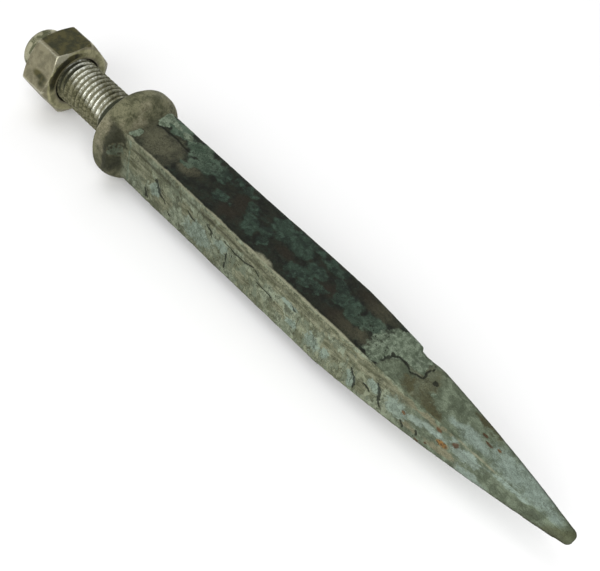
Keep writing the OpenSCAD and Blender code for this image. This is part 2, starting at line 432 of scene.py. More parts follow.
def spots(u, v, places):
    """How deep inside the nearest patch a point is: 0.5 on a patch's edge."""
    best = np.zeros(len(u))
    for x, across, half_x, half_v in [p[:4] for p in places]:
        d = np.hypot((u - x) / half_x, (v - across) / half_v)
        best = np.maximum(best, np.clip(1 - d / 2, 0, 1))
    return best


def blots(p, size, rarity, seed):
    """Patches from noise, 0.5 on their edges, for the sides that are out of sight."""
    return np.clip(0.5 + (fractal(p * (0.6, 1, 1), size, 3, seed) - rarity) * 2, 0, 1)


def line_distance(u, v, line):
    """Distance to a line through those points, and how far along it is, 0 to 1."""
    best = np.full(len(u), 99.0)
    along = np.zeros(len(u))
    for i, ((x0, y0), (x1, y1)) in enumerate(zip(line, line[1:])):
        dx, dy = x1 - x0, y1 - y0
        t = np.clip(((u - x0) * dx + (v - y0) * dy) / (dx * dx + dy * dy), 0, 1)
        d = np.hypot(u - x0 - t * dx, v - y0 - t * dy)
        along = np.where(d < best, (i + t) / (len(line) - 1), along)
        best = np.minimum(best, d)
    return best, along


def cracks(u, v, lines, wobble):
    """1 in the middle of each crack and 0 outside it. A crack thins out at its ends."""
    soft = 0.45
    total = np.zeros(len(u))
    for half, line in lines:
        d, along = line_distance(u + wobble, v + wobble * 0.6, line)
        width = half * (0.3 + 0.8 * np.sin(np.clip(along, 0.04, 0.96) * math.pi))
        total = np.maximum(total, 1 - smooth(d, width, width + soft))
    return total


def survey(made):
    """Where each point of the spike is, and the noises that its marks share."""
    p = mesh_points(made)
    x, y, z = p.T
    top, under = z > np.abs(y), -z >= np.abs(y)
    front, back = -y >= np.abs(z), y > np.abs(z)
    return SimpleNamespace(
        p=p, x=x, y=y, z=z,
        top=top, under=under, front=front, back=back, hidden=back | under,
        across=np.where(top | under, y, z),
        radius=np.hypot(y, z),
        angle=np.degrees(np.arctan2(y, -z)) % 360,
        on_bar=smooth(x, 7.6, 9.6),
        on_collar=(1 - smooth(x, 7.5, 12.5)) * smooth(x, -0.6, 0.2),
        on_stud=1 - smooth(x, -NECK, -NECK + 0.8),
        wobble=fractal(p, 2.2, 3, 11) * 0.7,
        wide=fractal(p, 9, 4, 21),
        near=cells(p, 1.15, 111),
    )


def colour_patches(s):
    """Patches of each colour. The hidden sides take theirs from noise of the same kind."""
    p, x = s.p, s.x
    u = x + s.wide + fractal(p, 4, 4, 25) * 1.5
    v = s.across + fractal(p, 4.5, 4, 31) * 1.6

    def both(seen, places, out_of_sight, others):
        return np.where(seen, spots(u, v, places), np.where(out_of_sight, others, 0))

    teal = both(s.top, TOP_TEAL, s.under, blots(p, 8, 0.05, 41) - smooth(x, 105, 125) * 0.5)
    brown = both(s.top, TOP_BROWN, s.under, blots(p, 8, 0.15, 51))
    pale = both(s.top, TOP_PALE, s.under, blots(p, 9, 0.35, 61))
    tan = both(s.front, FRONT_TAN, s.back, blots(p, 8, 0.15, 71))
    blue = both(s.front, FRONT_BLUE, s.back, blots(p, 7, 0.25, 81))
    white = np.where(s.top | s.under, spots(u, v, TOP_WHITE), spots(u, v, FRONT_WHITE))
    white = np.where(s.back, blots(p, 7, 0.2, 85), white) * smooth(x, 124, 138)
    return teal, brown, pale, tan, blue, white


def rust_spots(s):
    """The rust spots, and how orange each one is."""
    rust = np.zeros(len(s.x))
    orange = np.zeros(len(s.x))
    for side, places in ((s.front, FRONT_RUST), (s.top, TOP_RUST)):
        for place in places:
            spot = np.where(side, spots(s.x + s.wobble, s.across + s.wobble, [place]), 0)
            orange = np.where(spot > rust, place[4], orange)
            rust = np.maximum(rust, spot)
    stray = smooth(noise(s.p, 3.0, 91), 0.62, 0.72) * s.hidden * smooth(s.x, 60, 90)
    rust = np.maximum(rust, stray * 0.8)
    orange = np.where(stray > 0.3, 0.5 + 0.5 * noise(s.p, 12, 95), orange)
    return rust, orange


def crack_marks(s):
    """The cracks in view, and cracks from noise on the hidden sides."""
    in_front = np.where(s.front, cracks(s.x, s.across, FRONT_CRACKS, s.wobble), 0)
    on_top = np.where(s.top, cracks(s.x, s.across, TOP_CRACKS, s.wobble), 0)
    stray = smooth(1 - np.abs(noise(s.p * (1, 2.4, 2.4), 13, 101)), 0.975, 0.992)
    stray = stray * smooth(noise(s.p, 8, 105), 0.1, 0.3) * s.hidden * 0.8 * s.on_bar
    return np.maximum(np.maximum(in_front, on_top), stray)


def pit_marks(s):
    """Crowds of small pits, and a few larger holes."""
    crowd = spots(s.x, s.across, FRONT_PITTED) * s.front
    crowd = np.maximum(crowd, spots(s.x, s.across, TOP_PITTED) * s.top)
    crowd = np.maximum(crowd, smooth(noise(s.p, 12, 115), 0.25, 0.6) * 0.55 * s.hidden)
    holes = spots(s.x, s.across, TOP_HOLES) * s.top
    holes += spots(s.x, s.across, FRONT_HOLES) * s.front
    pits = (1 - smooth(s.near, 0.16, 0.42)) * smooth(crowd, 0.36, 0.6) * s.on_bar
    return np.maximum(pits, smooth(holes, 0.45, 0.6))


def raised_scale(s, pale):
    """Scale on the pale patches. It thins out on the top, short of the flake."""
    thin = s.top * smooth(s.x, 90, 100) * (1 - smooth(s.x, 112, 122))
    scale = pale + fractal(s.p, 2.4, 3, 121) * (0.2 + 0.25 * thin)
    scale = smooth(scale, 0.42 - 0.1 * thin, 0.56 + 0.2 * thin) * smooth(s.x, 9, 11)
    return scale * (1 - 0.44 * thin)


def ridge_lines(s):
    """The worn ridge between top and front, and the tan band and the groove beside it."""
    off = (s.angle - RIDGE_ANGLE) * math.pi / 180 * s.radius
    ridge = bell(off + noise(s.p * (1, 0, 0), 7, 175) * 0.22, 0.5) * smooth(s.x, 9.5, 12)
    below = s.z - taper(s.x)
    band = bell(below + 2.0, 1.5) * s.front * smooth(s.x, 22, 60) * (1 - smooth(s.x, 128, 150))
    groove = bell(below + 3.3 + s.wobble * 0.5, 0.6) * s.front * smooth(s.x, 10, 14)
    return ridge, band, groove * (1 - 0.7 * smooth(s.x, 60, 100))


def hollow_marks(s):
    """The collar's hollow on the front, the grime and painted shade in it, and its patch of scale."""
    in_front = smooth(s.x, 4.5, 7.0) * (1 - smooth(s.x, 11.9, 12.5)) * bell(s.angle - 264, 38, 4)
    in_front *= smooth(s.radius, 9.6, 10.6)
    patch = spots(s.x + s.wobble * 1.5, s.angle / 5 + s.wobble * 1.5, HOLLOW_SCALE)
    patch = patch * (1 - 0.7 * (1 - smooth(s.near, 0.2, 0.5)))
    # Grime and painted shade darken the hollow, apart from its patch of scale.
    grime_and_shade = in_front * (1 - smooth(patch, 0.34, 0.5) * 0.75)
    grime_and_shade = grime_and_shade * (0.75 + 0.5 * fractal(s.p, 3, 3, 181))
    scale = smooth(patch + fractal(s.p, 1.5, 2, 183) * 0.25, 0.36, 0.6) * s.on_collar
    return in_front, grime_and_shade, scale


def soot_marks(s, grime_and_shade, streak, edge):
    """The darkest marks: grime and painted shade in the hollow, a streak on the collar, painted shade
    on the thread by the nut and on the neck, and grime on the edges.
    """
    soot = grime_and_shade * 1.1 + streak * 0.4
    # Painted shade on the thread beside the nut, deepest in its roots.
    by_nut = bell(s.angle - 225, 62, 4) * (1 - smooth(s.x, NUT_SEAT + 1.2, NUT_SEAT + 4.0))
    in_root = 1.1 - 0.6 * smooth(s.radius, ROOT_R + 0.5, STUD_R - 0.2)
    soot += by_nut * smooth(s.x, NUT_SEAT - 2, NUT_SEAT) * in_root
    # Painted shade on the neck beside the collar.
    on_neck = smooth(s.x, -NECK - 0.3, -NECK + 0.5) * (1 - smooth(s.x, -0.3, 0.6))
    soot += on_neck * (s.radius < STUD_R + 2.5)
    return soot + edge * 0.4


def shade_marks(s, groove, streak, in_hollow, edge):
    """Painted shade at the neck and in the collar's hollow, and thinner darkening along the groove,
    by the collar (darker towards the bottom), low on the point, on the collar's streak and rim and on
    the point's long edges. It only darkens the colour under it.
    """
    x = s.x
    shade = groove * (0.85 + 0.6 * noise(s.p, 4, 185))
    by_collar = s.front * s.on_bar * (1 - smooth(x, 50, 84))
    shade += by_collar * (0.27 + 0.1 * smooth(-s.z, 2, 6))
    shade += smooth(x, 158, 168) * s.front * (1 - smooth(s.z, 0.1, 1.8)) * 0.08
    shade += streak * 0.3 + in_hollow * 0.2
    shade += edge * smooth(x, 122, 130) * 0.9
    # Painted shade on the neck.
    shade += 0.7 * smooth(x, -NECK - 0.5, -NECK + 0.5) * (1 - smooth(x, -0.5, 0.4))
    rim = smooth(s.angle, 224, 244) * (1 - smooth(s.angle, 300, 330)) * smooth(x, 1.5, 4)
    return shade + s.on_collar * rim * 0.55


def wear_marks(s, ridge):
    """Worn metal: along the ridge, on a patch beside it, and on the thread's crests, where the stud's
    painted highlight lies.
    """
    fading = 1 - 0.75 * smooth(s.x, 104, 122) + 0.5 * smooth(s.x, 146, 151)
    wear = ridge * fading * (1 - smooth(s.x, 160, 166))
    wear *= 0.75 + 0.6 * fractal(s.p, 4, 3, 187)
    patch = spots(s.x + s.wobble, s.across + s.wobble, WORN_PATCH)
    wear = np.maximum(wear, smooth(patch, 0.2, 1.1) * s.top * 0.9)
    return np.where(s.x < -NECK, smooth(s.radius, ROOT_R + 0.3, STUD_R - 0.25), wear)


def spike_relief(s, scale, crust, crack, pits, lower, ridge, groove):
    """How far each point of the spike moves outwards, in millimetres."""
    p = s.p
    depth = fractal(p, 26, 2, 141) * 0.16 * s.on_bar
    depth += fractal(p, 7, 3, 151) * 0.07 * (s.on_bar + 0.6 * s.on_collar)
    depth += fractal(p, 1.5, 3, 161) * 0.06 * (s.on_bar + s.on_collar * 0.5)
    depth += fractal(p, 9, 2, 165) * 0.2 * s.on_collar * smooth(s.radius, 12, 15)
    depth += fractal(p, 1.2, 2, 167) * 0.02 * s.on_stud
    depth += scale * 0.16 + crust * 0.07 - np.abs(fractal(p, 1.8, 2, 171)) * 0.12 * scale
    # The far top edge has lost a flake, which shows as a notch.
    notch = smooth(s.x + s.wobble, 122.6, 123.7) * (1 - smooth(s.x, 124.5, 133))
    notch = bell(s.angle - FAR_ANGLE, 24) * notch
    depth -= crack * 0.4 + pits * 0.24 + lower * 0.3 + notch * 1.15
    depth -= ridge * (0.05 + 0.12 * np.abs(noise(p, 5, 177)))
    return depth - groove * 0.14


def finish_spike(made):
    """Gives the forging its dents, scale, cracks and pits, and paints them, with painted shade and
    the stud's painted highlight.
    """
    s = survey(made)
    p, x, angle, wide = s.p, s.x, s.angle, s.wide
    teal, brown, pale, tan, blue, white = colour_patches(s)
    rust, orange = rust_spots(s)
    crack = crack_marks(s)
    pits = pit_marks(s)
    scale = raised_scale(s, pale)
    crust = smooth(teal + fractal(p, 2.2, 4, 131) * 0.24, 0.38, 0.62) * s.on_bar
    lower = np.where(s.top, spots(x + s.wobble, s.across + s.wobble, LOWER_PATCH), 0)
    lower = smooth(lower, 0.46, 0.56)
    ridge, band, groove = ridge_lines(s)
    push(made, spike_relief(s, scale, crust, crack, pits, lower, ridge, groove))

    in_hollow, grime_and_shade, hollow_scale = hollow_marks(s)
    rise = bell(x - 12.9 - s.wobble * 0.2, 0.5) * s.front * (0.65 + 0.5 * noise(p, 3, 189))
    scale = np.maximum(np.maximum(scale, hollow_scale), rise)
    streak = bell(angle - 218 - x * 1.5, 8) * smooth(x, 1.5, 4) * (1 - smooth(x, 9, 11))
    streak = streak * s.on_collar
    # The long edges are grimy, apart from the ridge.
    edge = bell(np.abs(s.y) - taper(x), 0.7) * bell(np.abs(s.z) - taper(x), 0.7)
    edge = edge * s.on_bar * ~((s.y < 0) & (s.z > 0)) * (1 + 0.5 * noise(p, 5, 193))
    # A painted highlight lies on the stud in three bands along it.
    bright = 0.95 * bell(angle - 199 - (x + 23) * 1.6, 25)
    bright += 0.28 * bell(angle - 160, 30) + 0.6 * bell(angle - 50, 30)
    on_top = (s.top | s.under) * s.on_bar * (1 - smooth(x + wide * 3, 122, 132))
    paint(
        made,
        teal=crust, brown=brown, blue=blue, white=white, rust=rust, orange=orange, bright=bright,
        pale=scale * (1 - lower),
        tan=np.maximum(tan, band * 0.8),
        soot=soot_marks(s, grime_and_shade, streak, edge),
        shade=shade_marks(s, groove, streak, in_hollow, edge),
        wear=wear_marks(s, ridge),
        crack=np.maximum(crack, pits * 0.85),
        end=smooth(-x, 40.6, 42.4),
        top=on_top * (1 - lower * 0.9),
        point=np.maximum(smooth(x + wide * 5, 122, 140), lower),
        tip=smooth(x + wide * 2.5 - s.across * 0.9 + 5 * s.front, 179, 189),
        collar=s.on_collar,
        stud=1 - smooth(x, -NECK - 0.2, -NECK + 0.6),
        near=1 - smooth(x + wide * 4, 26, 46) + smooth(x + wide * 3, 98, 114) * 0.7,
    )


# ----------------------------------------------------------------- nut shape
def hexagon(angles):
    """Radius of the nut's outline, with slightly worn corners."""
    power = 60
    total = np.zeros_like(angles)
    for k in range(6):
        facing = np.cos(angles - math.radians(NUT_TURN + 30 + 60 * k))
        total += np.clip(facing, 0, None) ** power
    return NUT_FLAT / total ** (1 / power)


def nut_rings(angles):
    """Rings round the nut's wall: outer face, sides, bearing face and threaded bore."""
    soft = 0.07
    hexed = hexagon(angles)
    length = NUT_SEAT - NUT_OUT
    face = np.linspace(SINK_R, NUT_FACE_R - 0.25, 8)
    rows = [ring(NUT_OUT, r, angles) for r in face]
    ends = np.array([0.0, 0.08, 0.2, 0.35, 0.5, 0.65, 0.8, 0.95, 1.1, 1.25, 1.4, 1.6, 1.9])
    for d in np.concatenate([ends, np.linspace(2.3, length - 2.3, 22), length - ends[::-1]]):
        cone = NUT_FACE_R + min(d, length - d) * CHAMFER
        side = -soft * np.logaddexp(-hexed / soft, -cone / soft)
        rows.append(ring(NUT_OUT + d, side, angles))
    rows += [ring(NUT_SEAT, r, angles) for r in face[::-1]]
    for x in np.linspace(NUT_SEAT - 0.2, NUT_OUT + 0.2, 62):
        bore = STUD_R - 1 + 1.2 * ridge_height(x, angles, 0.3, 0.6)
        sink = SINK_R - min(NUT_SEAT - x, x - NUT_OUT)
        rows.append(ring(x, np.maximum(bore, sink), angles))
    return rows


def nut_mesh():
    """The nut as one closed mesh, whose last ring joins its first."""
    rows = nut_rings(np.radians(NUT_TURN + np.arange(NUT_COLUMNS) * 360 / NUT_COLUMNS))
    faces = []
    for i in range(len(rows)):
        following = (i + 1) % len(rows)
        faces += strip(i * NUT_COLUMNS, following * NUT_COLUMNS, NUT_COLUMNS)
    return build("hex_nut_skin", np.concatenate(rows), faces)


def finish_nut(made):
    """Gives the nut its dents, and paints its worn and dark parts, with painted shade on its upper
    flat, in its bore and in a crescent on its bearing face, and a painted highlight on one chamfer.
    """
    p = mesh_points(made)
    x, y, z = p.T
    radius = np.hypot(y, z)
    angle = np.arctan2(y, -z)
    turn = np.degrees(angle) % 360
    outside = smooth(radius, SINK_R + 0.3, SINK_R + 1.0)
    dents = smooth(noise(p, 4.2, 211), 0.3, 0.75) * outside
    depth = fractal(p, 7, 2, 201) * 0.06 * outside + fractal(p, 1.4, 3, 205) * 0.03 * outside
    push(made, depth - dents * 0.08)

    from_middle = np.abs(x - NUT_MIDDLE)
    on_side = 1 - smooth(from_middle, 5.2, 6.2)
    corner = np.abs((turn - NUT_TURN + 30) % 60 - 30)
    edge = bell(corner, 2.2) * on_side * outside
    cone = NUT_FACE_R + (NUT_HALF - from_middle) * CHAMFER
    rim = bell(hexagon(angle) - cone, 0.8) * smooth(radius, NUT_FACE_R - 0.6, NUT_FACE_R + 0.2)
    rim = rim * (0.7 + 0.7 * fractal(p, 3, 2, 231))
    # The upper flat is darkened, partly as painted shade; the smudges beside it are dirt.
    upward = smooth(z / np.maximum(radius, 1), 0.86, 0.9)
    on_left = bell(turn - 242.4, 30, 4)
    smudge = spots(x + fractal(p, 3, 2, 221), z, NUT_SMUDGES) * on_left
    # The bore and its countersinks are darkened with painted shade.
    bore = 1 - smooth(radius, SINK_R - 0.6, SINK_R + 0.5)
    # Painted shade and a painted reflection lie in a crescent on the bearing face, inside a worn
    # chamfer.
    crescent = bell(turn - 226, 46, 4) * smooth(x, NUT_SEAT - 1.1, NUT_SEAT - 0.7) * outside
    dark_shade = crescent * (1 - smooth(radius + fractal(p, 3, 3, 241) * 0.5, 11.1, 12.0))
    chamfer = smooth(x, NUT_SEAT - 1.6, NUT_SEAT - 1.2) * smooth(radius, 11.2, 11.8)
    # A painted highlight on the chamfer by the upper front corner, painted with the wear.
    corner_highlight = bell(turn - 208, 13) * chamfer
    worn = edge * 0.6 + rim * 0.5 * (1 - dark_shade)
    paint(
        made,
        wear=worn * (1 - 0.35 * upward) + corner_highlight * 0.75,
        dark=upward * on_side * 0.95 + smudge * 1.1 * on_side + dark_shade * 1.2,
        soot=bore + smooth(dents, 0.3, 1) * 0.4 + dark_shade * 0.58,
        seat=(np.abs(x - NUT_SEAT) < 0.4) * outside,
    )


# ----------------------------------------------------------------- materials
def linear(screen):
    """A screen colour, three levels from 0 to 255, as the shader's linear colour."""
    out = []
    for level in screen:
        c = level / 255
        out.append(c / 12.92 if c <= 0.04045 else ((c + 0.055) / 1.055) ** 2.4)
    return (*out, 1)


class Material:
    """A node material, with short calls for the nodes that it uses.

    A colour is a socket or a screen colour of three levels, and a share is a
    socket or a number from 0 to 1.
    """

    def __init__(self, name):
        self.made = bpy.data.materials.new(name)
        self.made.use_nodes = True
        self.tree = self.made.node_tree
        self.shader = self.tree.nodes["Principled BSDF"]
        place = self.node("ShaderNodeTexCoord", {}).outputs["Object"]
        inputs = {0: place, "Scale": 1 / MM}
        self.place = self.node("ShaderNodeVectorMath", inputs, operation="SCALE").outputs[0]

    def feed(self, node, inputs):
        """Gives a node's inputs, by name or number, their links, screen colours or values."""
        for key, value in inputs.items():
            if isinstance(value, bpy.types.NodeSocket):
                self.tree.links.new(value, node.inputs[key])
            else:
                node.inputs[key].default_value = linear(value) if isinstance(value, tuple) else value

    def node(self, kind, inputs, **settings):
        """A new node with those inputs and settings."""
        made = self.tree.nodes.new(kind)
        for name, value in settings.items():
            setattr(made, name, value)
        self.feed(made, inputs)
        return made

    def mask(self, name):
        """A painted mask, as it is."""
        return self.node("ShaderNodeAttribute", {}, attribute_name=name).outputs["Fac"]

    def math(self, operation, a, b=0.0):
        """The named operation on one or two numbers."""
        return self.node("ShaderNodeMath", {0: a, 1: b}, operation=operation).outputs[0]

    def times(self, a, b):
        """a times b."""
        return self.math("MULTIPLY", a, b)

    def plus(self, a, b):
        """a plus b."""
        return self.math("ADD", a, b)

    def noise(self, size, detail, rough, stretch=None, distortion=0.0):
        """Noise with features of that size in mm. A stretch below 1 lengthens them."""
        where = self.place
        if stretch:
            inputs = {0: where, 1: Vector(stretch)}
            where = self.node("ShaderNodeVectorMath", inputs, operation="MULTIPLY").outputs[0]
        inputs = {"Vector": where, "Scale": 1 / size, "Detail": detail}
        inputs |= {"Roughness": rough, "Distortion": distortion}
        return self.node("ShaderNodeTexNoise", inputs).outputs["Fac"]

    def step(self, value, low, high):
        """0 below low, 1 above high, and smooth between them."""
        inputs = {"Value": value, "From Min": low, "From Max": high}
        made = self.node("ShaderNodeMapRange", inputs, interpolation_type="SMOOTHSTEP")
        return made.outputs["Result"]

    def mix(self, share, a, b, blend="MIX"):
        """A colour that goes from a to b."""
        inputs = {"Factor": share, 6: a, 7: b}
        return self.node("ShaderNodeMix", inputs, data_type="RGBA", blend_type=blend).outputs[2]

    def fade(self, share, a, b):
        """A number that goes from a to b."""
        inputs = {"Factor": share, 2: a, 3: b}
        return self.node("ShaderNodeMix", inputs, data_type="FLOAT").outputs[0]

    def cover(self, colour, share, strength, over):
        """A colour with another one laid over it, at that strength where share is 1."""
        return self.mix(self.times(share, strength), colour, over)

    def mottle(self, colour, strength, share, dark, light):
        """A colour made darker where share is low and lighter where it is high."""
        return self.mix(strength, colour, self.mix(share, dark, light), "SOFT_LIGHT")

    def patch(self, name, grain, spread, soft):
        """A painted mask with an edge broken up by noise."""
        pushed = self.times(self.math("SUBTRACT", grain, 0.5), spread)
        total = self.plus(self.mask(name), pushed)
        return self.step(total, 0.5 - soft, 0.5 + soft)

    def lines(self, grain, width):
        """Thin lines where that noise passes through its middle."""
        off = self.math("ABSOLUTE", self.math("SUBTRACT", grain, 0.5))
        return self.step(off, width, 0.0)

    def finish(self, colour, rough, metal, height, distance):
        """Joins it all to the shader, with a bump of that distance in mm."""
        bump = {"Strength": 1.0, "Distance": distance * MM, "Height": height}
        normal = self.node("ShaderNodeBump", bump).outputs["Normal"]
        looks = {"Base Color": colour, "Roughness": rough, "Metallic": metal, "Normal": normal}
        self.feed(self.shader, looks)
        return self.made


def grains(m):
    """The noises that the patina's layers share."""
    g = SimpleNamespace(
        broad=m.noise(11, 5, 0.6),
        mid=m.noise(3.4, 6, 0.66, distortion=0.5),
        blot=m.noise(1.7, 5, 0.65, distortion=0.3),
        fine=m.noise(0.7, 4, 0.65),
        dust=m.noise(0.22, 3, 0.6),
        upright=m.noise(3.0, 5, 0.62, stretch=(1.3, 1, 0.45), distortion=0.6),
        streak=m.noise(2.0, 4, 0.6, stretch=(0.35, 1.6, 1.6)),
    )
    g.ragged = m.plus(m.times(g.blot, 0.6), m.times(g.fine, 0.4))
    g.nicks = m.times(m.lines(g.blot, 0.03), m.step(m.noise(4.5, 3, 0.5), 0.5, 0.58))
    return g


def light_sides(m, g):
    """The front and the back: grey-green oxide with tan and blue-grey stretches."""
    colour = m.mix(m.step(g.mid, 0.4, 0.6), (92, 98, 80), (142, 151, 131))
    greener = m.mix(m.step(g.mid, 0.45, 0.55), (100, 104, 82), (132, 137, 114))
    colour = m.mix(m.step(g.broad, 0.42, 0.6), colour, greener)
    greyer = m.mix(m.step(g.broad, 0.45, 0.55), (138, 145, 124), (108, 116, 97))
    colour = m.mix(m.step(g.upright, 0.52, 0.55), colour, greyer)
    scratch = m.noise(1.6, 5, 0.65, stretch=(0.3, 1.2, 1.2), distortion=0.4)
    tan = m.mix(m.step(scratch, 0.36, 0.64), (92, 95, 72), (136, 138, 115))
    colour = m.mix(m.patch("tan", g.upright, 1.5, 0.12), colour, tan)
    blue = m.mix(g.blot, (102, 115, 102), (148, 162, 148))
    colour = m.mix(m.patch("blue", g.ragged, 1.6, 0.12), colour, blue)
    seams = m.times(m.lines(g.upright, 0.02), m.step(g.broad, 0.4, 0.5))
    colour = m.cover(colour, seams, 0.75, (52, 54, 38))
    colour = m.cover(colour, g.nicks, 0.7, (54, 58, 42))
    return m.mottle(colour, 0.4, m.step(g.blot, 0.36, 0.64), (92, 92, 88), (168, 169, 166))


def dark_sides(m, g):
    """The top and the underside: brown-black with teal patches, paler by the collar. The top's
    darkness is partly painted shade, and the underside takes the same colours.
    """
    near = m.mask("near")
    colour = m.mix(m.step(g.mid, 0.38, 0.6), (17, 20, 13), (31, 34, 23))
    colour = m.mix(m.step(g.blot, 0.5, 0.64), colour, (29, 38, 29))
    brown = m.mix(g.streak, (24, 22, 13), (42, 38, 26))
    brown = m.mix(near, brown, m.mix(g.streak, (66, 66, 50), (96, 96, 76)))
    colour = m.mix(m.patch("brown", g.mid, 0.9, 0.3), colour, brown)
    teal = m.mix(m.step(g.mid, 0.38, 0.62), (28, 40, 32), (48, 66, 54))
    teal = m.cover(teal, m.step(g.blot, 0.5, 0.66), 0.7, (62, 81, 68))
    paler = m.mix(m.step(g.mid, 0.35, 0.65), (62, 79, 63), (96, 112, 95))
    teal = m.mix(near, teal, paler)
    colour = m.cover(colour, m.patch("teal", g.ragged, 1.3, 0.48), 0.8, teal)
    creases = m.times(m.lines(g.blot, 0.035), m.step(g.broad, 0.42, 0.55))
    return m.cover(colour, creases, 0.7, (17, 20, 13))


def pointed_end(m, g):
    """The point: blue-grey with whitish blotches."""
    colour = m.mix(m.step(g.mid, 0.38, 0.62), (76, 84, 67), (108, 118, 99))
    brown = m.mix(g.streak, (52, 52, 32), (86, 84, 60))
    colour = m.mix(m.patch("brown", g.blot, 1.0, 0.22), colour, brown)
    tan = m.mix(g.streak, (96, 94, 72), (128, 126, 104))
    colour = m.mix(m.patch("tan", g.upright, 1.2, 0.2), colour, tan)
    blue = m.mix(g.blot, (104, 117, 106), (138, 150, 140))
    colour = m.mix(m.patch("blue", g.ragged, 1.5, 0.16), colour, blue)
    white = m.mix(g.blot, (106, 119, 108), (146, 160, 150))
    colour = m.mix(m.patch("white", g.ragged, 1.5, 0.34), colour, white)
    ripple = m.noise(0.9, 4, 0.65, stretch=(0.5, 1, 1), distortion=0.8)
    ripple = m.step(ripple, 0.34, 0.66)
    colour = m.mottle(colour, 0.35, ripple, (124, 126, 122), (220, 222, 220))
    veins = m.math("MAXIMUM", m.times(m.lines(g.mid, 0.016), 0.45), m.times(g.nicks, 0.6))
    return m.mix(veins, colour, (66, 72, 54))


def collar_taupe(m, g):
    """The collar: taupe, with a warm worn bloom."""
    colour = m.mix(m.step(g.mid, 0.36, 0.6), (74, 75, 54), (114, 113, 88))
    bloom = m.mix(m.step(g.blot, 0.35, 0.65), (108, 105, 82), (148, 144, 120))
    colour = m.mix(m.step(g.broad, 0.48, 0.62), colour, bloom)
    return m.cover(colour, m.step(g.fine, 0.52, 0.62), 0.35, (66, 68, 48))


def wrinkled_scale(m, g):
    """Pale scale with fine wrinkles."""
    colour = m.mix(m.step(g.blot, 0.38, 0.62), (80, 91, 74), (121, 133, 114))
    wrinkles = m.lines(m.noise(1.1, 3, 0.6, distortion=0.8), 0.05)
    return m.cover(colour, wrinkles, 0.55, (60, 69, 54))


def stud_steel(m, g):
    """The stud's colour, with a painted highlight on its crests in bands. Olive grime and painted
    shade lie between its ridges, lighter inside the highlight's bands.
    """
    crest = m.step(m.mask("wear"), 0.2, 0.85)
    stain = m.step(m.noise(1.3, 4, 0.65, stretch=(0.5, 1.4, 1.4)), 0.4, 0.6)
    grime_and_shade = m.mix(stain, (50, 50, 31), (92, 90, 66))
    dull = m.mix(stain, (86, 85, 60), (128, 126, 100))
    highlight_white = m.mix(m.step(g.fine, 0.35, 0.65), (196, 198, 182), (246, 247, 238))
    # Painted highlight: its bands lighten the grooves and give the crests near-white beads.
    in_highlight_band = m.step(m.plus(m.mask("bright"), m.times(g.blot, 0.5)), 0.35, 1.0)
    beads = m.fade(m.step(m.noise(0.9, 2, 0.5), 0.42, 0.56), 0.3, 1.0)
    is_bright = m.times(in_highlight_band, m.times(crest, beads))
    colour = m.cover(m.mix(in_highlight_band, grime_and_shade, (124, 122, 100)), crest, 0.7, dull)
    colour = m.mix(is_bright, colour, highlight_white)
    end = m.mix(m.step(g.mid, 0.42, 0.56), (96, 98, 74), (152, 150, 126))
    return m.mix(m.mask("end"), colour, end), is_bright


def patina():
    """Old forged steel: mottled oxide, scale, grime, rust spots and worn edges, with painted shade
    and a painted highlight on the stud.
    """
    m = Material("forged_patina")
    g = grains(m)
    colour = m.mix(m.mask("top"), light_sides(m, g), dark_sides(m, g))
    colour = m.mix(m.mask("point"), colour, pointed_end(m, g))
    olive = m.mix(g.blot, (50, 54, 33), (98, 102, 76))
    colour = m.cover(colour, m.patch("tip", g.ragged, 1.2, 0.3), 0.85, olive)
    colour = m.mix(m.mask("collar"), colour, collar_taupe(m, g))
    colour = m.mix(m.patch("pale", g.ragged, 1.1, 0.2), colour, wrinkled_scale(m, g))
    is_stud = m.mask("stud")
    stud, is_bright = stud_steel(m, g)
    colour = m.mix(is_stud, colour, stud)

    # Over that lie worn edges, freckles, painted shade and other darkening, cracks, grime with
    # painted shade, rust and dust.
    not_stud = m.math("SUBTRACT", 1.0, is_stud)
    worn = m.times(m.patch("wear", g.ragged, 0.9, 0.3), not_stud)
    colour = m.mix(worn, colour, m.mix(g.fine, (108, 108, 86), (154, 155, 133)))
    freckle = m.times(m.step(g.fine, 0.58, 0.7), 0.55)
    colour = m.mix(m.times(freckle, not_stud), colour, m.mix(0.55, colour, (40, 42, 32)))
    colour = m.mix(m.mask("shade"), colour, m.mix(0.72, colour, (44, 44, 28)))
    crack = m.step(m.plus(m.mask("crack"), m.times(g.fine, 0.3)), 0.4, 0.75)
    colour = m.cover(colour, crack, 0.85, (26, 29, 20))
    soot = m.patch("soot", g.ragged, 0.9, 0.28)
    colour = m.cover(colour, soot, 0.88, m.mix(g.mid, (26, 27, 17), (54, 56, 40)))
    rust = m.patch("rust", g.fine, 0.5, 0.14)
    rusty = m.mix(m.mask("orange"), (70, 46, 36), (136, 96, 40))
    rusty = m.mix(m.step(g.fine, 0.4, 0.62), rusty, (66, 48, 30))
    colour = m.cover(colour, rust, 0.85, rusty)
    dust = m.step(g.dust, 0.25, 0.75)
    colour = m.mottle(colour, 0.6, dust, (104, 104, 104), (208, 208, 208))

    metal = m.times(is_stud, m.plus(m.times(is_bright, 0.3), 0.25))
    metal = m.math("MAXIMUM", metal, m.times(worn, 0.25))
    rough = m.fade(m.step(g.fine, 0.3, 0.7), 0.6, 0.82)
    rough = m.fade(is_stud, rough, m.fade(is_bright, 0.6, 0.3))
    rough = m.fade(rust, rough, 0.88)
    height = m.plus(m.times(g.fine, 0.6), m.times(g.dust, 0.25))
    height = m.plus(height, m.times(g.blot, 0.8))
    m.shader.inputs["Specular IOR Level"].default_value = 0.16
    return m.finish(colour, rough, metal, height, 0.18)


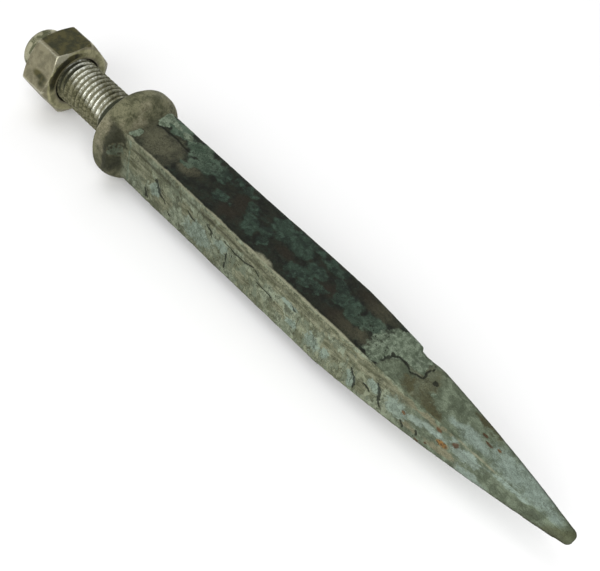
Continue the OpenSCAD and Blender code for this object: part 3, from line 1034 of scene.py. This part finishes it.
def nut_steel():
    """Handled steel: taupe-grey, dark olive on its upper flat partly as painted shade, painted shade
    in its bore and on its bearing face, bright worn corners and a painted highlight on one chamfer.
    """
    m = Material("nut_steel_worn")
    mid = m.noise(3.0, 5, 0.62, distortion=0.3)
    fine = m.noise(0.6, 4, 0.65)
    brushed = m.noise(0.8, 4, 0.6, stretch=(0.3, 2.2, 2.2))
    colour = m.mix(m.step(mid, 0.36, 0.64), (92, 88, 65), (126, 121, 95))
    colour = m.cover(colour, brushed, 0.3, (148, 144, 122))
    seat = m.mix(m.step(mid, 0.4, 0.6), (118, 116, 82), (154, 151, 116))
    colour = m.cover(colour, m.mask("seat"), 0.9, seat)
    # Dark olive for the upper flat's partly painted shade, the smudges and the crescent's painted
    # shade.
    dark_shade = m.mix(m.step(mid, 0.4, 0.62), (46, 47, 22), (74, 70, 36))
    colour = m.mix(m.patch("dark", mid, 0.6, 0.28), colour, dark_shade)
    colour = m.cover(colour, m.patch("soot", fine, 0.5, 0.3), 0.92, (28, 26, 16))
    # Worn edges, and the painted highlight on one chamfer.
    worn = m.patch("wear", fine, 0.8, 0.3)
    colour = m.cover(colour, worn, 0.85, m.mix(fine, (158, 155, 130), (200, 198, 178)))
    freckle = m.times(m.step(fine, 0.58, 0.7), 0.4)
    colour = m.mix(freckle, colour, m.mix(0.5, colour, (52, 50, 34)))
    rough = m.fade(worn, m.fade(m.step(fine, 0.3, 0.7), 0.4, 0.6), 0.3)
    metal = m.fade(worn, 0.45, 0.85)
    height = m.plus(m.times(fine, 0.5), m.times(mid, 0.6))
    return m.finish(colour, rough, metal, height, 0.08)


def plain_floor():
    """The pale floor, which isn't part of the object."""
    m = Material("pale_floor")
    m.shader.inputs["Base Color"].default_value = (0.93, 0.93, 0.93, 1)
    m.shader.inputs["Roughness"].default_value = 0.9
    return m.made


# --------------------------------------------------------------------- scene
CAMERA_TURNS = (33.013, 47.809, 17.136)  # azimuth, elevation and roll, in degrees
CAMERA_LENS = 62.36
CAMERA_DISTANCE = 309.06
CAMERA_AIM = (82.5, 0, 0)
CAMERA_LIFT = 0.53               # along the picture's height
LIGHTS_AIM = (0.07, 0, 0)        # in metres, like every size of a light or the floor
FLOOR_HALF = 4.0
FLOOR_GAP = 0.0003               # keeps the floor just clear of the collar


def set_camera():
    """A long lens looking down the spike from the side of its point."""
    azimuth, elevation, roll = (math.radians(a) for a in CAMERA_TURNS)
    flat = math.cos(elevation)
    back = Vector((math.sin(azimuth) * flat, -math.cos(azimuth) * flat, math.sin(elevation)))
    level = Vector((0, 0, 1)).cross(back).normalized()
    upright = back.cross(level)
    right = math.cos(roll) * level + math.sin(roll) * upright
    up = math.cos(roll) * upright - math.sin(roll) * level
    place = Vector(CAMERA_AIM) + back * CAMERA_DISTANCE + up * CAMERA_LIFT
    camera = bpy.data.objects.new("camera", bpy.data.cameras.new("camera"))
    camera.data.lens = CAMERA_LENS
    camera.data.sensor_width = 36
    camera.data.clip_start = 0.01
    camera.data.clip_end = 20
    turned = Matrix((right, up, back)).transposed().to_4x4()
    camera.matrix_world = Matrix.Translation(place * MM) @ turned
    bpy.context.scene.collection.objects.link(camera)
    bpy.context.scene.camera = camera


def soft_light(name, toward, distance, size, power):
    """A square soft box that shines at the middle of the spike from that direction."""
    lamp = bpy.data.objects.new(name, bpy.data.lights.new(name, "AREA"))
    lamp.data.shape = "SQUARE"
    lamp.data.size = size
    lamp.data.energy = power
    direction = Vector(toward).normalized()
    lamp.location = Vector(LIGHTS_AIM) + direction * distance
    lamp.rotation_mode = "QUATERNION"
    lamp.rotation_quaternion = direction.to_track_quat("Z", "Y")
    bpy.context.scene.collection.objects.link(lamp)


def set_stage():
    """A pale floor under the spike, a white surround and four soft boxes."""
    world = bpy.data.worlds.new("studio")
    world.use_nodes = True
    surround = world.node_tree.nodes["Background"]
    surround.inputs["Color"].default_value = (1, 1, 1, 1)
    surround.inputs["Strength"].default_value = 0.5
    bpy.context.scene.world = world
    bpy.context.scene.view_settings.view_transform = "Standard"
    h, z = FLOOR_HALF, -COLLAR_R * MM - FLOOR_GAP
    corners = [(-h, -h, z), (h, -h, z), (h, h, z), (-h, h, z)]
    mesh = bpy.data.meshes.new("floor")
    mesh.from_pydata(corners, [], [(0, 1, 2, 3)])
    mesh.materials.append(plain_floor())
    floor = bpy.data.objects.new("floor", mesh)
    bpy.context.scene.collection.objects.link(floor)
    soft_light("key", (0.2, -0.85, 0.5), 0.9, 0.7, 5.5)
    soft_light("overhead", (-0.3, -0.15, 1), 1.2, 0.8, 4)
    soft_light("front", (0.5, -0.4, 0.8), 0.8, 0.25, 1)
    soft_light("behind", (-0.3, 0.95, 0.3), 1.0, 0.7, 3)


set_camera()
set_stage()

spike = spike_mesh()
finish_spike(spike)
spike.data.materials.append(patina())
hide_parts("forged_spike")
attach(spike, "spike")

nut = nut_mesh()
finish_nut(nut)
nut.data.materials.append(nut_steel())
nut.data.set_sharp_from_angle(angle=math.radians(38))
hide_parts("hex_nut", "nut_end_face")
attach(nut, "nut")
